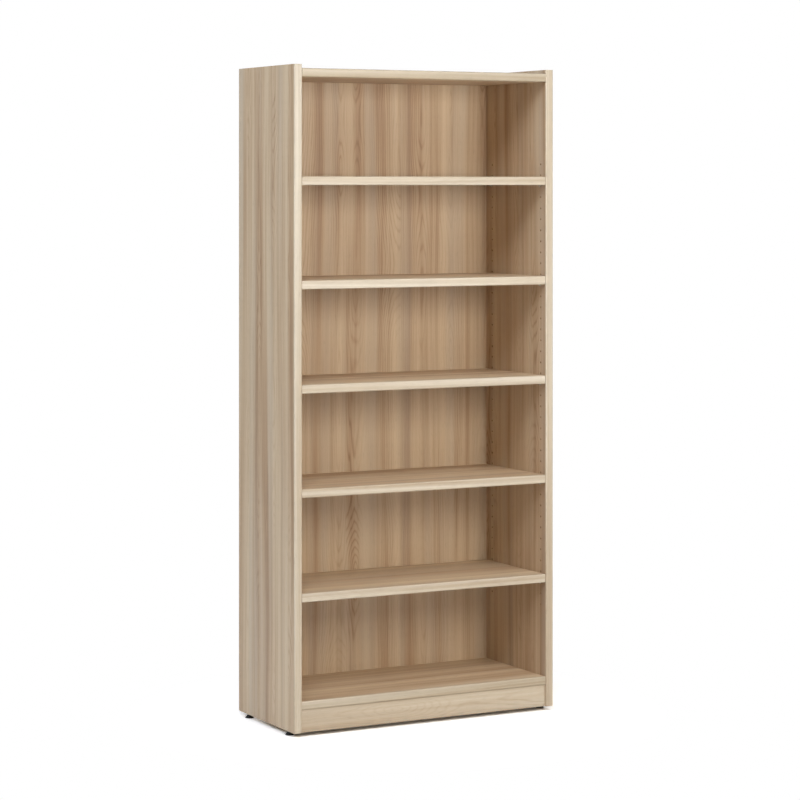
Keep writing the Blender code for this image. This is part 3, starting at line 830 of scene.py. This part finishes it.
# The pressed tongue: flat above and below, with round far corners and its rims rolled over. Its root is
# in the middle of the collar.
bm = bmesh.new()
tongue_root = collar_face + collar_thick / 2
outline = [(tongue_root, -tongue_width / 2), (tongue_root, tongue_width / 2)]
corner_x, corner_y = tongue_reach - tongue_corner, tongue_width / 2 - tongue_corner
for start, centre_y in ((90, corner_y), (0, -corner_y)):
    for i in range(corner_steps + 1):
        angle = math.radians(start - i * 90 / corner_steps)
        around = tongue_corner * math.cos(angle), tongue_corner * math.sin(angle)
        outline.append((corner_x + around[0], centre_y + around[1]))
under = [bm.verts.new((px, py, tongue_rise - tongue_thick)) for px, py in outline]
tongue_face = bm.faces.new(under)
grown = bmesh.ops.extrude_face_region(bm, geom=[tongue_face])["geom"]
raised = [part for part in grown if isinstance(part, bmesh.types.BMVert)]
bmesh.ops.translate(bm, vec=(0, 0, tongue_thick), verts=raised)
rims = [edge for edge in bm.edges if abs(edge.verts[0].co.z - edge.verts[1].co.z) < glue_line]
bmesh.ops.bevel(bm, geom=rims, offset=tongue_arris, segments=2, profile=0.5, affect="EDGES")
tongue_piece = shown("shelf_pin_tongue", meshed("shelf_pin_tongue", bm), nickel)
weld(pin_piece, tongue_piece)
smooth(pin_piece, pin_smooth)
pin_mesh = pin_piece.data
bpy.data.objects.remove(pin_piece, do_unlink=True)

for number in range(1, len(shelf_cuts) + 1):
    for row, side in corners_of_the_case:
        name = f"shelf_pin_{number}_{row}_{side}"
        low, high = (Vector(corner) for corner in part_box(name))
        sign = -1 if side == "left" else 1
        panel_low, panel_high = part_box(f"{side}_side_panel")
        face_x = panel_high[0] if sign < 0 else panel_low[0]
        mesh = pin_mesh.copy()
        turn = Matrix.Rotation(math.pi if sign > 0 else 0.0, 4, "Z")
        mesh.transform(Matrix.Translation((face_x, (low.y + high.y) / 2, high.z - tongue_rise)) @ turn)
        piece = shown(name + "_spoon", mesh, nickel)
        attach(piece, name)
        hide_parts(name)


# ---------------------------------------------------------------- cam fittings
# Eight cams, die cast in zinc, each in its round pocket: a drum with a cross recess and a small arrow on
# its face, and a hollow that grips the head of a bolt. The bolts are turned steel, zinc plated, and
# screwed into the side panels. They reach through the bores to the cams.

# Cast zinc, tumbled: dull grey with a fine orange-peel skin, lighter and darker in blotches.
cast_zinc, tree, out = blank("die_cast_zinc")
place = node(tree, "ShaderNodeTexCoord", {}).outputs["Object"]
skin = node(tree, "ShaderNodeTexNoise", {"Vector": place, "Scale": 2200.0, "Detail": 3.0})
blotch = node(tree, "ShaderNodeTexNoise", {"Vector": place, "Scale": 260.0, "Detail": 2.0})
zinc_tone = node(
    tree, "ShaderNodeMix", {0: blotch.outputs[0], 6: linear("#8C8E8F"), 7: linear("#B4B5B3")},
    data_type="RGBA",
)
zinc_rough = node(tree, "ShaderNodeMapRange", {0: blotch.outputs[0], 1: 0.3, 2: 0.7, 3: 0.38, 4: 0.55})
zinc_bump = node(
    tree, "ShaderNodeBump", {"Strength": 0.35, "Distance": 0.0001, "Height": skin.outputs[0]},
)
cast = node(
    tree, "ShaderNodeBsdfPrincipled",
    {
        "Base Color": zinc_tone.outputs[2],
        "Metallic": 1.0,
        "Roughness": zinc_rough.outputs[0],
        "Normal": zinc_bump.outputs[0],
    },
)
tree.links.new(cast.outputs[0], out.inputs["Surface"])

# Zinc plate on turned steel: cooler and brighter, with cloudy straw-coloured passivation.
zinc_plate, tree, out = blank("zinc_plated_steel")
place = node(tree, "ShaderNodeTexCoord", {}).outputs["Object"]
cloud = node(tree, "ShaderNodeTexNoise", {"Vector": place, "Scale": 180.0, "Detail": 3.0})
marks = node(tree, "ShaderNodeTexNoise", {"Vector": place, "Scale": 3000.0, "Detail": 1.0})
plate_tone = node(
    tree, "ShaderNodeMix", {0: cloud.outputs[0], 6: linear("#A3A9AE"), 7: linear("#BDB9A8")},
    data_type="RGBA",
)
plate_rough = node(tree, "ShaderNodeMapRange", {0: cloud.outputs[0], 1: 0.3, 2: 0.7, 3: 0.26, 4: 0.42})
plate_bump = node(
    tree, "ShaderNodeBump", {"Strength": 0.2, "Distance": 0.0001, "Height": marks.outputs[0]},
)
plate = node(
    tree, "ShaderNodeBsdfPrincipled",
    {
        "Base Color": plate_tone.outputs[2],
        "Metallic": 1.0,
        "Roughness": plate_rough.outputs[0],
        "Normal": plate_bump.outputs[0],
    },
)
tree.links.new(plate.outputs[0], out.inputs["Surface"])

cam_radius = 0.0074
cam_height = 0.0160
cam_chamfer = 0.0005
cavity_radius = 0.0050
cavity_height = 0.0072
neck_slot = 0.0040
entry_width = 0.0078
cross_length = 0.0092
cross_width = 0.0022
cross_depth = 0.0018
cross_corner = 0.0003
arrow_from = 0.0050
arrow_to = 0.0066
arrow_half = 0.0007
arrow_deep = 0.0003
board_half = 0.01175
cam_sunk = 0.0003
axis_deep = board_half - cam_sunk
past_rim = cam_radius + overcut
drum_steps = 48
hollow_steps = 40

# Its own Z looks out of the pocket and its own X is towards the bolt.
bm = bmesh.new()
drum = [
    (0.0, 0.0),
    (cam_radius - cam_chamfer, 0.0),
    (cam_radius, -cam_chamfer),
    (cam_radius, -cam_height + cam_chamfer),
    (cam_radius - cam_chamfer, -cam_height),
    (0.0, -cam_height),
]
add_turned(bm, drum, Matrix(), drum_steps)
cam_piece = shown("cam_drum", meshed("cam_drum", bm), cast_zinc)

# The hollow for the bolt's head, the slot round the rim for its neck, and the way in.
cavity_low, cavity_high = -cavity_height / 2 - axis_deep, cavity_height / 2 - axis_deep
hollow = [
    (0.0, cavity_high),
    (cavity_radius, cavity_high),
    (cavity_radius, cavity_low),
    (0.0, cavity_low),
]
bm = bmesh.new()
add_turned(bm, hollow, Matrix(), hollow_steps)
carve(cam_piece, bm, cast_zinc)
slot_low, slot_high = -neck_slot / 2 - axis_deep, neck_slot / 2 - axis_deep
bm = bmesh.new()
add_box(bm, (-past_rim, -past_rim, slot_low), (past_rim, neck_slot / 2, slot_high))
carve(cam_piece, bm, cast_zinc)
bm = bmesh.new()
add_box(bm, (-past_rim, -entry_width / 2, cavity_low), (0.0, entry_width / 2, cavity_high))
carve(cam_piece, bm, cast_zinc)

# The cross recess for a screwdriver, and the arrow.
for half_x, half_y in ((cross_length / 2, cross_width / 2), (cross_width / 2, cross_length / 2)):
    bm = bmesh.new()
    edges = add_box(bm, (-half_x, -half_y, -cross_depth), (half_x, half_y, overcut))
    bmesh.ops.bevel(bm, geom=edges, offset=cross_corner, segments=1, affect="EDGES")
    carve(cam_piece, bm, cast_zinc)
bm = bmesh.new()
arrow_points = ((arrow_from, -arrow_half), (arrow_to, 0.0), (arrow_from, arrow_half))
upper = [bm.verts.new((px, py, arrow_deep)) for px, py in arrow_points]
lower = [bm.verts.new((px, py, -arrow_deep)) for px, py in arrow_points]
bm.faces.new(upper)
bm.faces.new(lower[::-1])
for i in range(3):
    j = (i + 1) % 3
    bm.faces.new([upper[i], upper[j], lower[j], lower[i]])
carve(cam_piece, bm, cast_zinc)
smooth(cam_piece)
cam_mesh = cam_piece.data
bpy.data.objects.remove(cam_piece, do_unlink=True)

for level, looks in (("top", 1), ("bottom", -1)):
    for row, side in corners_of_the_case:
        name = f"cam_lock_{level}_{row}_{side}"
        low, high = (Vector(corner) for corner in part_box(name))
        face_z = high.z if looks > 0 else low.z
        turn = Matrix.Rotation(0.0 if side == "right" else math.pi, 4, "Z")
        tip = Matrix.Rotation(0.0 if looks > 0 else math.pi, 4, "X")
        mesh = cam_mesh.copy()
        mesh.transform(Matrix.Translation(((low.x + high.x) / 2, (low.y + high.y) / 2, face_z)) @ turn @ tip)
        piece = shown(name + "_drum", mesh, cast_zinc)
        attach(piece, name)
        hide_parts(name)

# The bolt, with its own Z into the side panel: a pointed thread drawn as ridges, a plain shank, a thin
# neck and the head.
bolt_tip = 0.0110
bolt_root, bolt_crest = 0.0018, 0.0024
bolt_shank, bolt_neck, bolt_head = 0.0030, 0.0016, 0.0032
bolt_end = -0.0360
ridge_count = 4
ridge_pitch = 0.0023
bolt_steps = 32

bolt_profile = [(0.0, bolt_tip), (0.0012, bolt_tip), (bolt_crest, 0.0098)]
for ridge in range(ridge_count):
    bolt_profile += [
        (bolt_root, 0.0094 - ridge_pitch * ridge),
        (bolt_crest, 0.0077 - ridge_pitch * ridge),
    ]
bolt_profile += [
    (bolt_crest, 0.0),
    (0.0028, 0.0),
    (bolt_shank, -0.0002),
    (bolt_shank, -0.0250),
    (bolt_neck, -0.0262),
    (bolt_neck, -0.0324),
    (0.0030, -0.0334),
    (bolt_head, -0.0337),
    (bolt_head, -0.0357),
    (0.0029, bolt_end),
    (0.0, bolt_end),
]
for level in ("top", "bottom"):
    for row, side in corners_of_the_case:
        name = f"cam_bolt_{level}_{row}_{side}"
        low, high = (Vector(corner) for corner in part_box(name))
        sign = -1 if side == "left" else 1
        face_x = sign * max(abs(low.x), abs(high.x)) - sign * bolt_tip
        y, z = (low.y + high.y) / 2, (low.z + high.z) / 2
        bm = bmesh.new()
        add_turned(bm, bolt_profile, towards(face_x, y, z, (sign, 0, 0)), bolt_steps)
        bolt = shown(name + "_turned", meshed(name, bm), zinc_plate)
        smooth(bolt)
        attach(bolt, "case")
        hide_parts(name)


# ---------------------------------------------------------------- levelling glides
# Four glides under the ends of the sides. A flanged steel sleeve is pressed up into the board, a stem
# with an M8 thread and a hexagon for a spanner screws up into it, and a moulded black foot turns on the
# stem's head. The foot is a cone 24 mm across, the part that shows below the case.

# Moulded nylon, black: soft sheen from a spark-eroded mould, scuffed paler round the rim.
black_nylon, tree, out = blank("moulded_black_nylon")
place = node(tree, "ShaderNodeTexCoord", {}).outputs["Object"]
eroded = node(tree, "ShaderNodeTexNoise", {"Vector": place, "Scale": 1800.0, "Detail": 2.0})
scuffs = node(tree, "ShaderNodeTexNoise", {"Vector": place, "Scale": 240.0, "Detail": 5.0, "Roughness": 0.65})
height = node(tree, "ShaderNodeSeparateXYZ", {0: place}).outputs[2]
near_floor = node(tree, "ShaderNodeMapRange", {0: height, 1: 0.0, 2: 0.003, 3: 0.8, 4: 0.1}).outputs[0]
scuffed = node(
    tree, "ShaderNodeMapRange", {0: scuffs.outputs[0], 1: 0.52, 2: 0.68, 3: 0.0, 4: near_floor},
).outputs[0]
nylon_tone = node(
    tree, "ShaderNodeMix", {0: scuffed, 6: linear("#121212"), 7: linear("#2E2D2B")},
    data_type="RGBA",
)
nylon_rough = node(tree, "ShaderNodeMapRange", {0: scuffed, 3: 0.45, 4: 0.7})
nylon_bump = node(
    tree, "ShaderNodeBump", {"Strength": 0.3, "Distance": 0.0001, "Height": eroded.outputs[0]},
)
nylon = node(
    tree, "ShaderNodeBsdfPrincipled",
    {
        "Base Color": nylon_tone.outputs[2],
        "Roughness": nylon_rough.outputs[0],
        "IOR": 1.53,
        "Normal": nylon_bump.outputs[0],
    },
)
tree.links.new(nylon.outputs[0], out.inputs["Surface"])

# Profiles of the turned parts, as radius and height above the floor. The foot is hollow underneath.
foot_profile = [
    (0.0044, 0.0088),
    (0.0046, 0.0090),
    (0.0056, 0.0090),
    (0.0061, 0.0087),
    (0.0063, 0.0082),
    (0.0075, 0.0066),
    (0.0094, 0.0043),
    (0.0112, 0.0025),
    (0.0118, 0.0019),
    (0.0120, 0.0015),
    (0.0120, 0.0006),
    (0.0118, 0.0002),
    (0.0114, 0.0000),
    (0.0073, 0.0000),
    (0.0070, 0.0003),
    (0.0070, 0.0040),
    (0.0044, 0.0040),
]
insert_profile = [
    (0.0043, 0.0330),
    (0.0054, 0.0330),
    (0.0060, 0.0315),
    (0.0060, 0.0290),
    (0.0055, 0.0285),
    (0.0060, 0.0255),
    (0.0060, 0.0250),
    (0.0055, 0.0245),
    (0.0060, 0.0215),
    (0.0060, 0.0210),
    (0.0055, 0.0205),
    (0.0060, 0.0175),
    (0.0060, 0.0127),
    (0.0083, 0.0127),
    (0.0085, 0.0125),
    (0.0085, 0.0118),
    (0.0083, 0.0116),
    (0.0045, 0.0116),
    (0.0043, 0.0118),
]
stem_profile = [
    (0.0, 0.0135),
    (0.0029, 0.0135),
    (0.0029, 0.0112),
    (0.0033, 0.0111),
    (0.0033, 0.0037),
    (0.0063, 0.0037),
    (0.0065, 0.0035),
    (0.0065, 0.0014),
    (0.0063, 0.0012),
    (0.0, 0.0012),
]
foot_steps = 64
sleeve_steps = 40
turned_smooth = 45
hexagon_radius = 0.0075
hexagon_low, hexagon_high = 0.0093, 0.0113
hexagon_arris = 0.0002
thread_smooth = 30
thread_crest = 0.0039
thread_root = 0.0033
thread_pitch = 0.00125
thread_low, thread_high = 0.0110, 0.0400
thread_steps = 24


def add_thread(bm):
    """Adds a screw thread about Z: a ridge that climbs one pitch a turn, closed to the axis at both ends.

    form is the ridge's outline over one pitch, as parts of the pitch and radius.
    """
    form = ((0.0, thread_root), (0.35, thread_crest), (0.5, thread_crest), (0.85, thread_root))
    turns = int((thread_high - thread_low) / thread_pitch) - 1
    rows = []
    for step in range(turns * thread_steps + 1):
        angle = 2 * math.pi * step / thread_steps
        climb = thread_low + thread_pitch * step / thread_steps
        across, along = math.cos(angle), math.sin(angle)
        rows.append([
            bm.verts.new((radius * across, radius * along, climb + part * thread_pitch))
            for part, radius in form
        ])
    for row, after in zip(rows, rows[1:]):
        for k in range(len(form) - 1):
            bm.faces.new([row[k], after[k], after[k + 1], row[k + 1]])
    for step in range(len(rows) - thread_steps - 1):
        above, beyond = rows[step + thread_steps], rows[step + thread_steps + 1]
        bm.faces.new([rows[step][-1], rows[step + 1][-1], beyond[0], above[0]])
    foot = bm.verts.new((0, 0, thread_low))
    head = bm.verts.new((0, 0, thread_high))
    first, last = rows[:thread_steps + 1], rows[-thread_steps - 1:]
    for i in range(thread_steps):
        bm.faces.new([first[i + 1][0], first[i][0], foot])
        bm.faces.new([last[i][-1], last[i + 1][-1], head])
    bm.faces.new([foot, *first[0], first[-1][0]])
    bm.faces.new([head, last[0][-1], *last[-1]])


def turned_piece(name, profile, steps, finish):
    """A turned piece about Z through the origin, ready to be copied to its places."""
    bm = bmesh.new()
    add_turned(bm, profile, Matrix(), steps)
    made = shown(name, meshed(name, bm), finish)
    smooth(made, turned_smooth)
    return made


foot_shape = turned_piece("glide_foot", foot_profile, foot_steps, black_nylon)
insert_shape = turned_piece("glide_insert", insert_profile, sleeve_steps, zinc_plate)
stem_shape = turned_piece("glide_stem", stem_profile, sleeve_steps, zinc_plate)
bm = bmesh.new()
bmesh.ops.create_cone(
    bm, cap_ends=True, segments=6, radius1=hexagon_radius, radius2=hexagon_radius,
    depth=hexagon_high - hexagon_low, matrix=Matrix.Translation((0, 0, (hexagon_low + hexagon_high) / 2)),
)
bmesh.ops.bevel(bm, geom=bm.edges[:], offset=hexagon_arris, segments=1, affect="EDGES")
weld(stem_shape, shown("hexagon", meshed("hexagon", bm), zinc_plate))
bm = bmesh.new()
add_thread(bm)
weld(stem_shape, shown("thread", meshed("thread", bm), zinc_plate))
smooth(stem_shape, thread_smooth)

for row, side in corners_of_the_case:
    for shape, part, make, body, slot_name in (
        (foot_shape, "glide_foot", "cone", f"glide_foot_{row}_{side}", "black_plastic"),
        (stem_shape, "glide_stem", "threaded", f"glide_stem_{row}_{side}", "zinc_plated_steel"),
        (insert_shape, "glide_insert", "sleeve", "case", "zinc_plated_steel"),
    ):
        name = f"{part}_{row}_{side}"
        low, high = (Vector(corner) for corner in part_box(name))
        mesh = shape.data.copy()
        mesh.transform(Matrix.Translation(((low.x + high.x) / 2, (low.y + high.y) / 2, 0.0)))
        piece = shown(f"{name}_{make}", mesh, shape.data.materials[0])
        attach(piece, body)
        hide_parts(name)
for shape in (foot_shape, stem_shape, insert_shape):
    bpy.data.objects.remove(shape, do_unlink=True)
